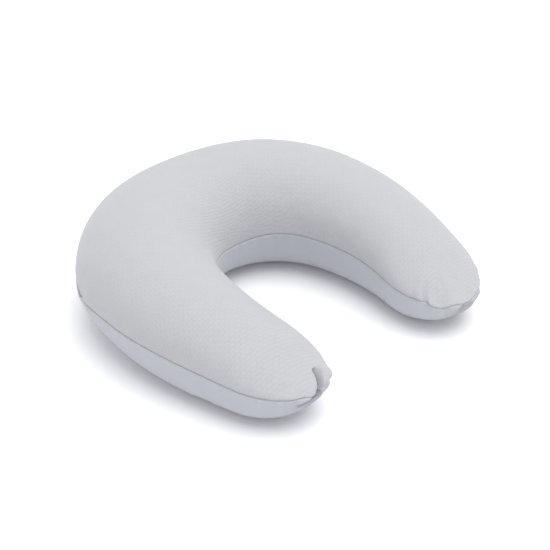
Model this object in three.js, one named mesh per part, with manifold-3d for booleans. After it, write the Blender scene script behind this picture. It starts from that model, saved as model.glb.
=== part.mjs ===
// A C-shaped nursing pillow: a fibre-filled inner cushion in a zipped two-panel cover.
//
// Millimetres, +Z up. The pillow lies flat on z = 0 with its arms pointing towards -Y and
// is the same on both sides of x = 0. Every layer is the same rounded roll along one bent
// middle line, set in from the outside by its own depth, so each layer clears the next.
import * as THREE from 'three';
import { mergeVertices } from 'three/addons/utils/BufferGeometryUtils.js';
import Module from 'manifold-3d';

const wasm = await Module();
wasm.setup();

// ---- the roll: lists run evenly from the middle of the back to the tip of an arm
const HALF_LENGTH = 560; // along the middle line
const MIDDLE_LINE_Y = 166; // where the middle line crosses x = 0
const BEND = [4.6, 5.6, 5.3, 2.4, 0.7, -2.4]; // radians per metre of middle line
const OUTER_HALF_WIDTH = [110, 112, 95, 80, 78];
const INNER_HALF_WIDTH = [107, 108, 97.5, 79, 78];
const CREST_HEIGHT = [177, 181, 162, 131, 68];
const OUTER_SEAM_HEIGHT = [79, 79, 82, 71, 57];
const INNER_SEAM_HEIGHT = [75, 81, 80.5, 75.5, 57];
const TIP_LENGTH = 103; // the rounded end of an arm
const TIP_LIFT = 6; // how far an arm's underside rises towards its tip
const LIFT_FROM = 0.6; // the share of the half length where that rise starts
const FLATTENING = 1.07; // how much of the underside is pressed flat by its own weight

// ---- fullness of the section: 2 is an ellipse, more is boxier
const TOP_FULLNESS = 2;
const INNER_UNDERSIDE_FULLNESS = 2.6;
const BACK_UNDERSIDE_FULLNESS = 1.75;
const ARM_UNDERSIDE_FULLNESS = 2.7;

// ---- layers: how deep each one starts and ends below the cover's face
const COVER = { outside: 0, inside: 1.2 };
const COVER_THREAD = { outside: 1.7, inside: 2.5 };
const LABEL = { outside: 2.9, inside: 3.2 };
const INNER_CASE = { outside: 3.6, inside: 4.2 };
const CASE_THREAD = { outside: 4.7, inside: 5.3 };
const FILL_DEPTH = 6;
const SEAM_GAP = 0.4; // between the edges of two panels
const THREAD_HEIGHT = 3;
const THREAD_TIP_SHARE = 0.2; // of its height, where a thread turns round a tip
const LABEL_PLACE = [0.42, 0.47]; // along the roll, past the zip's +X end
const LABEL_ANGLE = [0.12, 0.5]; // round the section, below the outer seam

// ---- the zip, on one circular arc round the back of the cover
const ZIP_RADIUS = 293;
const ZIP_HEIGHT = OUTER_SEAM_HEIGHT[0];
const ZIP_END = THREE.MathUtils.degToRad(64); // the arc runs this far to each side of +Y
const ZIP_FADE = THREE.MathUtils.degToRad(16); // how gently the outline leaves the arc
const ZIP_OPENING_FADE = THREE.MathUtils.degToRad(1.8); // and how sharply its opening closes
const ZIP_CENTRE_Y = MIDDLE_LINE_Y - 179.5;
const ZIP_OPENING = 9.2; // between the panels' edges
const LIP_SHARPNESS = 4; // how soon the panels close up again away from the opening
const ZIP_RECESS = 3.6; // how much deeper the inner cushion lies behind the zip
const TAPE = { outside: 4.1, inside: 4.7, near: 0.75, far: 12, overrun: 5 };
const COIL = { outside: 2.6, inside: 3.8, near: 0.75, far: 2.4 };
const STOP_LENGTH = 2.6;
const STOP_GAP = 0.4;

// ---- the slider and its pull
const SLIDER_ANGLE = THREE.MathUtils.degToRad(62);
const SLIDER_LENGTH = 9.6;
const SLIDER_WIDTH = 7.2;
const PLATE_THICKNESS = 1;
const FRONT_PLATE_DEPTH = 1.3; // of its outer face, below the cover's face
const BACK_PLATE_DEPTH = 5; // of its outer face
const FLANGE_THICKNESS = 0.9;
const FLANGE_REACH = 1.1;
const NECK_WIDTH = 0.8;
const NECK_LENGTH = 3.2;
const NECK_INSET = 0.4;
const BRIDGE = { halfLength: 2.4, height: 3.4, thickness: 0.75, width: 1.6 };
const PIN_RADIUS = 0.5;
const PIN_CLEARANCE = 0.35;
const PULL = { length: 20, width: 4.6, thickness: 0.8, rail: 1, eye: 3.4, corner: 1.4 };

// ---- how finely the shapes are divided
const COVER_ROW_COUNT = { zip: 14, arm: 8, tip: 7 };
const COVER_COLUMNS = 14; // across one panel
const CASE_ROW_COUNT = { zip: 11, arm: 5, tip: 5 };
const CASE_COLUMNS = 10;
const LABEL_STEPS = 3;
const ZIP_STEPS = 60;

const TOP = 1;
const SEAM = 0;
const UNDER = -1;

const lerp = THREE.MathUtils.lerp;
const clamp = THREE.MathUtils.clamp;
const smoothstep = THREE.MathUtils.smoothstep;

// ---------------------------------------------------------------- the roll's shape

// A smooth curve through values spaced evenly from 0 to 1, level where it starts.
function smoothThrough(values) {
  const places = values.map((value, index) => index / (values.length - 1));
  const curve = new THREE.CubicInterpolant(places, values, 1);
  curve.settings = { endingStart: THREE.ZeroSlopeEnding, endingEnd: THREE.ZeroCurvatureEnding };
  return (share) => curve.evaluate(clamp(share, 0, 1))[0];
}

const naturalOuterAt = smoothThrough(OUTER_HALF_WIDTH);
const innerHalfWidthAt = smoothThrough(INNER_HALF_WIDTH);
const crestAt = smoothThrough(CREST_HEIGHT);
const naturalSeamAt = smoothThrough(OUTER_SEAM_HEIGHT);
const innerSeamAt = smoothThrough(INNER_SEAM_HEIGHT);

function bendAt(share) {
  const place = clamp(share, 0, 1) * (BEND.length - 1);
  const index = Math.min(Math.floor(place), BEND.length - 2);
  return lerp(BEND[index], BEND[index + 1], place - index) / 1000;
}

// The +X half of the middle line, walked in steps of one millimetre.
function walkMiddleLine() {
  const line = [{ x: 0, y: MIDDLE_LINE_Y, heading: 0 }];
  for (let step = 1; step <= HALF_LENGTH; step += 1) {
    const last = line[step - 1];
    const heading = last.heading + bendAt((step - 0.5) / HALF_LENGTH);
    const middle = (last.heading + heading) / 2;
    line.push({ x: last.x + Math.cos(middle), y: last.y - Math.sin(middle), heading });
  }
  return line;
}

const MIDDLE_LINE = walkMiddleLine();

function middleLineAt(distance) {
  const index = Math.min(Math.floor(distance), HALF_LENGTH - 1);
  const from = MIDDLE_LINE[index];
  const to = MIDDLE_LINE[index + 1];
  const part = distance - index;
  return {
    x: lerp(from.x, to.x, part),
    y: lerp(from.y, to.y, part),
    heading: lerp(from.heading, to.heading, part),
  };
}

// The angle about the zip's centre of the place opposite a point on the middle line.
function zipAngleAt(share) {
  const spot = middleLineAt(share * HALF_LENGTH);
  const reach = naturalOuterAt(share);
  const x = spot.x + reach * Math.sin(spot.heading);
  const y = spot.y + reach * Math.cos(spot.heading);
  return Math.atan2(x, y - ZIP_CENTRE_Y);
}

// 1 along the zip, fading to 0 past its ends.
function besideZip(share, fade) {
  return 1 - smoothstep(Math.abs(zipAngleAt(share)), ZIP_END, ZIP_END + fade);
}

// The outer half width, eased onto the zip's exact arc where the zip is.
function outerHalfWidthAt(share) {
  const spot = middleLineAt(share * HALF_LENGTH);
  const along = spot.x * Math.sin(spot.heading) + (spot.y - ZIP_CENTRE_Y) * Math.cos(spot.heading);
  const away = Math.hypot(spot.x, spot.y - ZIP_CENTRE_Y);
  const toArc = Math.sqrt(ZIP_RADIUS ** 2 - away ** 2 + along ** 2) - along;
  return lerp(naturalOuterAt(share), toArc, besideZip(share, ZIP_FADE));
}

// The outer seam's height, eased to be level where the zip is.
function outerSeamAt(share) {
  return lerp(naturalSeamAt(share), ZIP_HEIGHT, besideZip(share, ZIP_FADE));
}

// How far the edge of a panel stands off from the seam's middle. `outerShare` is 1 at the
// outer seam and 0 at the inner one.
function edgeGap(share, outerShare) {
  const nearness = Math.max(0, 2 * outerShare - 1) ** LIP_SHARPNESS;
  return lerp(SEAM_GAP, ZIP_OPENING, besideZip(share, ZIP_OPENING_FADE) * nearness) / 2;
}

// How much deeper the inner cushion lies just behind the zip.
function zipRecess(share, rise) {
  return ZIP_RECESS * besideZip(share, ZIP_FADE) * (1 - smoothstep(rise, 0.25, 0.7));
}

// 1 along the arms, falling to 0 round the quarter ellipse that closes each tip.
function tipRounding(place, depth) {
  const distance = Math.abs(place) * (HALF_LENGTH - depth);
  const intoTip = Math.max(0, (distance - HALF_LENGTH + TIP_LENGTH) / (TIP_LENGTH - depth));
  return Math.abs(place) < 1 ? Math.sqrt(1 - intoTip ** 2) : 0;
}

// One point of a layer. `place` runs from -1 at the -X tip to 1 at the +X tip. `angle` goes
// over the section, from 0 at the outer seam to PI at the inner one. `side` is TOP, UNDER or,
// for the line of the seam itself, SEAM.
function rollPoint(place, angle, depth, side) {
  const distance = Math.abs(place) * (HALF_LENGTH - depth);
  const share = distance / HALF_LENGTH;
  const spot = middleLineAt(distance);
  const rounding = tipRounding(place, depth);
  const isOuter = Math.cos(angle) > 0;

  const armShare = clamp((share - 0.35) / 0.35, 0, 1);
  const outerFullness = lerp(BACK_UNDERSIDE_FULLNESS, ARM_UNDERSIDE_FULLNESS, armShare);
  const underFullness = isOuter ? outerFullness : INNER_UNDERSIDE_FULLNESS;
  const power = 2 / (side === UNDER ? underFullness : TOP_FULLNESS);
  const rise = Math.abs(Math.sin(angle)) ** power * rounding;
  const across = Math.sign(Math.cos(angle)) * Math.abs(Math.cos(angle)) ** power * rounding;

  const halfWidth = isOuter ? outerHalfWidthAt(share) : innerHalfWidthAt(share);
  const recess = isOuter && depth >= INNER_CASE.outside ? zipRecess(share, rise) : 0;
  const reach = (halfWidth - depth - recess) * across;
  const x = spot.x + reach * Math.sin(spot.heading);
  const y = spot.y + reach * Math.cos(spot.heading);

  const outerShare = (1 + Math.cos(angle) * rounding) / 2;
  const seam = lerp(innerSeamAt(share), outerSeamAt(share), outerShare);
  const edge = seam + side * edgeGap(share, outerShare);
  const floor = depth + TIP_LIFT * Math.max(0, (share - LIFT_FROM) / (1 - LIFT_FROM)) ** 2;
  let z = edge;
  if (side === TOP) {
    z += (crestAt(share) - depth - edge) * rise;
  } else if (side === UNDER) {
    z = Math.max(edge - (edge - floor) * rise * FLATTENING, floor);
  }
  return new THREE.Vector3(place < 0 ? -x : x, y, z);
}

// The share of the half length at which the zip ends.
function findZipEnd() {
  let share = 0;
  while (zipAngleAt(share) < ZIP_END) {
    share += 1 / HALF_LENGTH;
  }
  return share;
}

// Places for the rows of a grid: even along the zip and along the arm, with two rows at the
// end of the zip's opening, then even steps round the ellipse of the tip.
function rowPlaces(count) {
  const zipEnd = findZipEnd();
  const armStart = zipEnd + 7 / HALF_LENGTH;
  const tipStart = 1 - TIP_LENGTH / HALF_LENGTH;
  const half = [];
  for (let row = 1; row <= count.zip; row += 1) {
    half.push((zipEnd * row) / count.zip);
  }
  for (let row = 0; row <= count.arm; row += 1) {
    half.push(lerp(armStart, tipStart, row / count.arm));
  }
  for (let row = 1; row < count.tip; row += 1) {
    half.push(lerp(tipStart, 1, Math.sin((Math.PI * row) / count.tip / 2)));
  }
  half.push(1);
  return [...half.map((place) => -place).reverse(), 0, ...half];
}

// Angles across one panel, a little closer together at its two seams.
function columnAngles(columns, side) {
  const angles = [];
  for (let column = 0; column <= columns; column += 1) {
    const even = column / columns;
    const eased = (1 - Math.cos(Math.PI * even)) / 2;
    angles.push((Math.PI * (even + eased)) / 2);
  }
  return side === TOP ? angles : angles.reverse();
}

const COVER_ROWS = rowPlaces(COVER_ROW_COUNT);
const CASE_ROWS = rowPlaces(CASE_ROW_COUNT);

// ---------------------------------------------------------------- building surfaces

// Collects triangles by their corners, leaving out any that have shrunk to a line.
class Surface {
  constructor() {
    this.corners = [];
  }

  triangle(a, b, c) {
    const isFlat = a.distanceTo(b) < 1e-4 || b.distanceTo(c) < 1e-4 || c.distanceTo(a) < 1e-4;
    if (!isFlat) {
      this.corners.push(...a, ...b, ...c);
    }
  }

  quad(a, b, c, d) {
    this.triangle(a, b, c);
    this.triangle(a, c, d);
  }

  // Quads between two lines of points that run side by side.
  strip(first, second) {
    for (let index = 0; index + 1 < first.length; index += 1) {
      this.quad(first[index], first[index + 1], second[index + 1], second[index]);
    }
  }

  geometry() {
    const loose = new THREE.BufferGeometry();
    loose.setAttribute('position', new THREE.Float32BufferAttribute(this.corners, 3));
    const geometry = mergeVertices(loose, 1e-4);
    geometry.computeVertexNormals();
    return geometry;
  }
}

// A sheet of cloth with a thickness: `outer` holds its outer face as rows of points, and
// `inner` is the same grid on its inner face.
function sheet(outer, inner) {
  const surface = new Surface();
  for (let row = 0; row + 1 < outer.length; row += 1) {
    surface.strip(outer[row], outer[row + 1]);
    surface.strip(inner[row + 1], inner[row]);
  }
  surface.strip(outer.map((row) => row[0]), inner.map((row) => row[0]));
  surface.strip(inner.map((row) => row.at(-1)), outer.map((row) => row.at(-1)));
  surface.strip(inner[0], outer[0]);
  surface.strip(outer.at(-1), inner.at(-1));
  return surface.geometry();
}

function rollGrid(places, angles, depth, side) {
  return places.map((place) => angles.map((angle) => rollPoint(place, angle, depth, side)));
}

// Half of a layer, above or below the seam, as an open bowl of cloth.
function panel(layer, places, columns, side) {
  const angles = columnAngles(columns, side);
  const outer = rollGrid(places, angles, layer.outside, side);
  const inner = rollGrid(places, angles, layer.inside, side);
  return sheet(outer, inner);
}

// A solid bar of four-cornered section; `sections` lists its corners along the way.
function bar(sections, isLoop = false) {
  const surface = new Surface();
  const path = isLoop ? [...sections, sections[0]] : sections;
  for (let side = 0; side < 4; side += 1) {
    const next = (side + 1) % 4;
    const here = path.map((corners) => corners[side]);
    const beside = path.map((corners) => corners[next]);
    surface.strip(here, beside);
  }
  if (!isLoop) {
    const [a, b, c, d] = path[0];
    const [e, f, g, h] = path.at(-1);
    surface.quad(a, b, c, d);
    surface.quad(h, g, f, e);
  }
  return surface.geometry();
}

// The corners of a bar's section, between two depths and two heights about a seam point.
function sectionAt(outside, inside, low, high) {
  return [
    inside.clone().setZ(inside.z + low),
    inside.clone().setZ(inside.z + high),
    outside.clone().setZ(outside.z + high),
    outside.clone().setZ(outside.z + low),
  ];
}

function threadSection(place, angle, layer) {
  const outside = rollPoint(place, angle, layer.outside, SEAM);
  const inside = rollPoint(place, angle, layer.inside, SEAM);
  const half = (THREAD_HEIGHT / 2) * Math.max(tipRounding(place, layer.outside), THREAD_TIP_SHARE);
  return sectionAt(outside, inside, -half, half);
}

// ---------------------------------------------------------------- the zip

function zipPoint(angle, depth, height) {
  const reach = ZIP_RADIUS - depth;
  return new THREE.Vector3(
    reach * Math.sin(angle),
    ZIP_CENTRE_Y + reach * Math.cos(angle),
    ZIP_HEIGHT + height,
  );
}

// A strip along the zip's arc, above or below its middle.
function zipStrip(piece, from, to, isUpper) {
  const low = isUpper ? piece.near : -piece.far;
  const high = isUpper ? piece.far : -piece.near;
  const sections = [];
  for (let step = 0; step <= ZIP_STEPS; step += 1) {
    const angle = lerp(from, to, step / ZIP_STEPS);
    const outside = zipPoint(angle, piece.outside, 0);
    const inside = zipPoint(angle, piece.inside, 0);
    sections.push(sectionAt(outside, inside, low, high));
  }
  return bar(sections);
}

// The staple that closes one end of the zip, in line with the coils.
function zipStop(side) {
  const end = ZIP_END - STOP_GAP / ZIP_RADIUS;
  const start = end - STOP_LENGTH / ZIP_RADIUS;
  const angles = side < 0 ? [-end, -start] : [start, end];
  const half = COIL.far + STOP_GAP;
  const sections = angles.map((angle) => {
    const outside = zipPoint(angle, FRONT_PLATE_DEPTH + PLATE_THICKNESS, 0);
    return sectionAt(outside, zipPoint(angle, COIL.inside, 0), -half, half);
  });
  return bar(sections);
}

// ---------------------------------------------------------------- joined solids

function toManifold(geometry) {
  const plain = geometry.clone();
  plain.deleteAttribute('normal');
  plain.deleteAttribute('uv');
  const merged = mergeVertices(plain, 1e-5);
  return new wasm.Manifold(new wasm.Mesh({
    numProp: 3,
    vertProperties: new Float32Array(merged.attributes.position.array),
    triVerts: new Uint32Array(merged.index.array),
  }));
}

function joined(geometries) {
  const whole = geometries.map(toManifold).reduce((sum, next) => sum.add(next));
  const mesh = whole.getMesh();
  const geometry = new THREE.BufferGeometry();
  geometry.setAttribute('position', new THREE.BufferAttribute(mesh.vertProperties, 3));
  geometry.setIndex(new THREE.BufferAttribute(mesh.triVerts, 1));
  geometry.computeVertexNormals();
  return geometry;
}

// A flat plate with rounded corners, drawn along X and Z, with its faces across Y.
function roundedPlate(length, width, corner, fromY, thickness) {
  const shape = new THREE.Shape();
  const x = length / 2 - corner;
  const y = width / 2 - corner;
  shape.absarc(x, y, corner, 0, Math.PI / 2);
  shape.absarc(-x, y, corner, Math.PI / 2, Math.PI);
  shape.absarc(-x, -y, corner, Math.PI, Math.PI * 1.5);
  shape.absarc(x, -y, corner, Math.PI * 1.5, Math.PI * 2);
  const options = { depth: thickness, bevelEnabled: false, curveSegments: 4 };
  const geometry = new THREE.ExtrudeGeometry(shape, options);
  geometry.rotateX(Math.PI / 2);
  geometry.translate(0, fromY + thickness, 0);
  return geometry;
}

function box(sizeX, sizeY, sizeZ, x, y, z) {
  const geometry = new THREE.BoxGeometry(sizeX, sizeY, sizeZ);
  geometry.translate(x, y, z);
  return geometry;
}

// The slider: two plates joined by a neck at the end that leads when the zip closes, the +X
// end. It is drawn with X along the zip and Y outwards, with y = 0 at the cover's face.
function sliderGeometry() {
  const front = -FRONT_PLATE_DEPTH - PLATE_THICKNESS;
  const back = -BACK_PLATE_DEPTH - PLATE_THICKNESS;
  const overlap = 0.2;
  const parts = [
    roundedPlate(SLIDER_LENGTH, SLIDER_WIDTH, 1.2, front, PLATE_THICKNESS),
    roundedPlate(SLIDER_LENGTH, SLIDER_WIDTH, 1.2, back, PLATE_THICKNESS),
  ];
  const flangeZ = (SLIDER_WIDTH - FLANGE_THICKNESS) / 2;
  const flangeHeight = FLANGE_REACH + overlap;
  const flangeY = front + overlap - flangeHeight / 2;
  for (const side of [-1, 1]) {
    const flange = [SLIDER_LENGTH - 2.4, flangeHeight, FLANGE_THICKNESS];
    parts.push(box(...flange, 0, flangeY, side * flangeZ));
  }
  const neckHeight = front - (back + PLATE_THICKNESS) + 2 * overlap;
  const neckX = (SLIDER_LENGTH - NECK_LENGTH) / 2 - NECK_INSET;
  const neckY = back + PLATE_THICKNESS - overlap + neckHeight / 2;
  parts.push(box(NECK_LENGTH, neckHeight, NECK_WIDTH, neckX, neckY, 0));
  const postX = BRIDGE.halfLength - BRIDGE.thickness / 2;
  const postY = -FRONT_PLATE_DEPTH - overlap + (BRIDGE.height + overlap) / 2;
  for (const side of [-1, 1]) {
    const post = [BRIDGE.thickness, BRIDGE.height + overlap, BRIDGE.width];
    parts.push(box(...post, side * postX, postY, 0));
  }
  const topY = -FRONT_PLATE_DEPTH + BRIDGE.height - BRIDGE.thickness / 2;
  parts.push(box(BRIDGE.halfLength * 2, BRIDGE.thickness, BRIDGE.width, 0, topY, 0));
  return joined(parts);
}

// The pull tab about its own pin, with its faces across Y: an eye round the slider's bridge,
// then a plate with a rounded end, turned at last to lie along -X, back over the closed zip.
function pullGeometry() {
  const half = PULL.width / 2;
  const back = -0.6 * PIN_RADIUS;
  const outline = new THREE.Shape();
  outline.moveTo(back, -half);
  outline.lineTo(PULL.length - PULL.corner, -half);
  outline.absarc(PULL.length - PULL.corner, PULL.corner - half, PULL.corner, -Math.PI / 2, 0);
  outline.absarc(PULL.length - PULL.corner, half - PULL.corner, PULL.corner, 0, Math.PI / 2);
  outline.lineTo(back, half);
  const eye = new THREE.Path();
  eye.moveTo(-back, PULL.rail - half);
  eye.lineTo(PULL.eye, PULL.rail - half);
  eye.lineTo(PULL.eye, half - PULL.rail);
  eye.lineTo(-back, half - PULL.rail);
  outline.holes.push(eye);
  const options = { depth: PULL.thickness, bevelEnabled: false, curveSegments: 4 };
  const plate = new THREE.ExtrudeGeometry(outline, options);
  plate.rotateX(Math.PI / 2);
  plate.translate(0, PULL.thickness / 2, 0);
  const pin = new THREE.CylinderGeometry(PIN_RADIUS, PIN_RADIUS, PULL.width - 0.1, 12);
  pin.rotateX(Math.PI / 2);
  return joined([plate, pin]).rotateY(Math.PI);
}

// The pin hangs just inside the bridge, which keeps the pull clear of the cover's face.
const BRIDGE_INSIDE = FRONT_PLATE_DEPTH - BRIDGE.height + BRIDGE.thickness;
const PIN_DEPTH = BRIDGE_INSIDE + PIN_CLEARANCE + PIN_RADIUS;

// Puts a mesh on the zip's arc, with its X along the arc and its Y outwards.
function onZip(mesh, angle, depth) {
  mesh.position.copy(zipPoint(angle, depth, 0));
  mesh.rotation.z = -angle;
  return mesh;
}

// ---------------------------------------------------------------- materials and nodes

function cloth(color, roughness = 0.9) {
  return new THREE.MeshStandardMaterial({ color, roughness, metalness: 0 });
}

const TOP_CLOTH = 0xd2d3d7;
const BOTTOM_CLOTH = 0xc6c9d0;
const THREAD_COLOUR = 0xc9cbd1;
const TAPE_COLOUR = 0xd4d5d9;
const COIL_COLOUR = 0xdcdde0;
const METAL_COLOUR = 0xc4c6ca;
const WHITE_CLOTH = 0xf1f0ec;

const group = new THREE.Group();

function add(name, geometry, material) {
  const mesh = new THREE.Mesh(geometry, material);
  mesh.name = name;
  group.add(mesh);
  return mesh;
}

// The cover: a knitted top and a smooth underside, sewn together all the way round except
// along the zip.
add('cover_top_panel', panel(COVER, COVER_ROWS, COVER_COLUMNS, TOP), cloth(TOP_CLOTH, 0.95));
add('cover_bottom_panel', panel(COVER, COVER_ROWS, COVER_COLUMNS, UNDER), cloth(BOTTOM_CLOTH, 0.85));

// The cover's seam runs from one end of the zip round both arms to the other end.
function coverThread() {
  const start = findZipEnd() + 10 / HALF_LENGTH;
  const outer = COVER_ROWS.filter((place) => place > start);
  const inner = COVER_ROWS.filter((place) => Math.abs(place) < 1);
  return bar([
    ...outer.map((place) => threadSection(place, 0, COVER_THREAD)),
    ...inner.reverse().map((place) => threadSection(place, Math.PI, COVER_THREAD)),
    ...outer.reverse().map((place) => threadSection(-place, 0, COVER_THREAD)),
  ]);
}

add('cover_seam_thread', coverThread(), cloth(THREAD_COLOUR));

// A blank care label, sewn inside the cover below its seam.
function label() {
  const steps = Array.from({ length: LABEL_STEPS + 1 }, (unused, step) => step / LABEL_STEPS);
  const places = steps.map((step) => lerp(...LABEL_PLACE, step));
  const angles = steps.map((step) => lerp(...LABEL_ANGLE, 1 - step));
  const outer = rollGrid(places, angles, LABEL.outside, UNDER);
  const inner = rollGrid(places, angles, LABEL.inside, UNDER);
  return sheet(outer, inner);
}

add('care_label', label(), cloth(WHITE_CLOTH, 0.6));

// The inner cushion: a white case, its closing seam, and the fibre inside.
add('inner_case_top', panel(INNER_CASE, CASE_ROWS, CASE_COLUMNS, TOP), cloth(WHITE_CLOTH));
add('inner_case_bottom', panel(INNER_CASE, CASE_ROWS, CASE_COLUMNS, UNDER), cloth(WHITE_CLOTH));

function caseThread() {
  const back = CASE_ROWS.filter((place) => Math.abs(place) < 1).reverse();
  return bar([
    ...CASE_ROWS.map((place) => threadSection(place, 0, CASE_THREAD)),
    ...back.map((place) => threadSection(place, Math.PI, CASE_THREAD)),
  ], true);
}

add('inner_case_seam_thread', caseThread(), cloth(WHITE_CLOTH));

function fill() {
  const above = rollGrid(CASE_ROWS, columnAngles(CASE_COLUMNS, TOP), FILL_DEPTH, TOP);
  const below = rollGrid(CASE_ROWS, columnAngles(CASE_COLUMNS, UNDER), FILL_DEPTH, UNDER);
  const rings = above.map((line, row) => [...below[row], ...line, below[row][0]]);
  const surface = new Surface();
  for (let row = 0; row + 1 < rings.length; row += 1) {
    surface.strip(rings[row], rings[row + 1]);
  }
  return surface.geometry();
}

add('fibre_fill', fill(), cloth(WHITE_CLOTH, 1));

// The zip: two tapes sewn behind the opening's edges, a coil on each, a staple at each end,
// and the slider with its pull, parked at the +X end where the zip is closed.
const tapeEnd = ZIP_END + TAPE.overrun / ZIP_RADIUS;
const coilEnd = ZIP_END - (STOP_LENGTH + 2 * STOP_GAP) / ZIP_RADIUS;
for (const [name, isUpper] of [['upper', true], ['lower', false]]) {
  const tape = zipStrip(TAPE, -tapeEnd, tapeEnd, isUpper);
  const coil = zipStrip(COIL, -coilEnd, coilEnd, isUpper);
  add(`zip_tape_${name}`, tape, cloth(TAPE_COLOUR));
  add(`zip_coil_${name}`, coil, cloth(COIL_COLOUR, 0.45));
}

function metal(color) {
  return new THREE.MeshStandardMaterial({ color, roughness: 0.35, metalness: 0.8 });
}

add('zip_stop_left', zipStop(-1), metal(METAL_COLOUR));
add('zip_stop_right', zipStop(1), metal(METAL_COLOUR));
onZip(add('zip_slider', sliderGeometry(), metal(METAL_COLOUR)), SLIDER_ANGLE, 0);
onZip(add('zip_pull_tab', pullGeometry(), metal(METAL_COLOUR)), SLIDER_ANGLE, PIN_DEPTH);

export default group;
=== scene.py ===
"""A C-shaped nursing pillow: its soft pieces, materials, light and camera.

Everything is in metres with +Z up, in the frame of the CAD model it is built round. The
cover, the inner case and the fibre are one rounded roll along a bent middle line, at
different depths. A cloth simulation, a few pleats and the seams then shape that roll.
"""

import math

import bmesh
import bpy
import numpy as np
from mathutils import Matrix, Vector
from mathutils.kdtree import KDTree


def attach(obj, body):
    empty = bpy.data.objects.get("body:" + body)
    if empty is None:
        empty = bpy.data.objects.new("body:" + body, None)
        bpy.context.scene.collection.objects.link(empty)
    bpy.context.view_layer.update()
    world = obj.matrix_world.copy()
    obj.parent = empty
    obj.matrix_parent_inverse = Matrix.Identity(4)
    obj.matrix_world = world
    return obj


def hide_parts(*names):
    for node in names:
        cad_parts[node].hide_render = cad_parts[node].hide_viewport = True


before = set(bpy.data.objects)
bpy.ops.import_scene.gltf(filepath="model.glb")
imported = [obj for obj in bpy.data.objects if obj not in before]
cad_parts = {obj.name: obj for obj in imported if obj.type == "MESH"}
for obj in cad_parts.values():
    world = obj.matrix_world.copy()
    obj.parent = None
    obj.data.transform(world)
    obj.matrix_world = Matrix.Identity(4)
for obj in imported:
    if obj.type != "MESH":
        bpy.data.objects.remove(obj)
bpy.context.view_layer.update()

# ---- the roll: the CAD model's own sizes, evenly from the middle of the back to a tip
MM = 0.001
HALF_LENGTH = 560 * MM
MIDDLE_LINE_Y = 166 * MM
BEND = (4.6, 5.6, 5.3, 2.4, 0.7, -2.4)  # radians per metre
OUTER_HALF_WIDTH = np.array([110, 112, 95, 80, 78]) * MM
INNER_HALF_WIDTH = np.array([107, 108, 97.5, 79, 78]) * MM
CREST_HEIGHT = np.array([177, 181, 162, 131, 68]) * MM
OUTER_SEAM_HEIGHT = np.array([79, 79, 82, 71, 57]) * MM
INNER_SEAM_HEIGHT = np.array([75, 81, 80.5, 75.5, 57]) * MM
TIP_LENGTH = 103 * MM
TIP_CENTRE = 0.75  # how much of that is ahead of the centre of its rounding
TIP_LIFT = 6 * MM  # of the underside, rising from this share of the arm
LIFT_FROM = 0.6
FLATTENING = 1.07
TOP_FULLNESS = 2
INNER_UNDERSIDE_FULLNESS = 2.6
BACK_UNDERSIDE_FULLNESS = 1.75
ARM_UNDERSIDE_FULLNESS = 2.7
ARM_START, ARM_EASING = 0.35, 0.35  # where the back becomes the arm, and over how much

# ---- layers, by depth below the cover's face
CASE_DEPTH = 4.8 * MM
CASE_SEAM_DEPTH = 5.9 * MM
FIBRE_DEPTH = 6.9 * MM
CLOTH_THICKNESS = 0.9 * MM

# ---- the zip
ZIP_RADIUS = 293 * MM
ZIP_CENTRE_Y = MIDDLE_LINE_Y - 179.5 * MM
ZIP_HEIGHT = 79 * MM
ZIP_END = math.radians(64)
ZIP_FADE = math.radians(16)
ZIP_OPENING_FADE = math.radians(1.8)
ZIP_OPENING = 9.2 * MM
ZIP_RECESS = 3.6 * MM  # how far the inner layers keep clear of it, up to these rises
ZIP_RECESS_RISES = (0.25, 0.7)
LIP_SHARPNESS = 4

TOP, UNDER = 1, -1


# ---------------------------------------------------------------- the roll's shape
def smoothstep(value, low, high):
    part = np.clip((value - low) / (high - low), 0, 1)
    return part * part * (3 - 2 * part)


def cubic(before, here, there, after, part):
    """The smooth curve through four values, between the middle two."""
    return here + part / 2 * (
        there - before
        + part * (2 * before - 5 * here + 4 * there - after)
        + part * part * (3 * here - before - 3 * there + after)
    )


def smooth_through(values, share):
    """A smooth curve through values spaced evenly from 0 to 1, level where it starts."""
    last = len(values) - 1
    place = np.clip(share, 0, 1) * last
    index = np.minimum(place.astype(int), last - 1)
    here, there = values[index], values[index + 1]
    before = np.where(index > 0, values[np.maximum(index - 1, 0)], values[1])
    after = np.where(index < last - 1, values[np.minimum(index + 2, last)], 2 * there - here)
    return cubic(before, here, there, after, place - index)


def walk_middle_line():
    """(x, y, heading) at every millimetre of the +X half of the middle line."""
    steps = round(HALF_LENGTH / MM)
    shares = (np.arange(steps) + 0.5) / steps
    bend = np.interp(shares, np.linspace(0, 1, len(BEND)), BEND)
    heading = np.concatenate([[0], np.cumsum(bend * MM)])
    middle = (heading[1:] + heading[:-1]) / 2
    x = np.concatenate([[0], np.cumsum(np.cos(middle) * MM)])
    y = MIDDLE_LINE_Y - np.concatenate([[0], np.cumsum(np.sin(middle) * MM)])
    return x, y, heading


WALK = walk_middle_line()
WALK_PLACES = np.linspace(0, HALF_LENGTH, len(WALK[0]))


def middle_line(distance):
    return tuple(np.interp(distance, WALK_PLACES, column) for column in WALK)


def beside_zip(share, fade):
    """1 along the zip, fading to 0 past its ends."""
    x, y, heading = middle_line(share * HALF_LENGTH)
    reach = smooth_through(OUTER_HALF_WIDTH, share)
    out_x = x + reach * np.sin(heading)
    out_y = y + reach * np.cos(heading)
    angle = np.abs(np.arctan2(out_x, out_y - ZIP_CENTRE_Y))
    return 1 - smoothstep(angle, ZIP_END, ZIP_END + fade)


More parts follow.
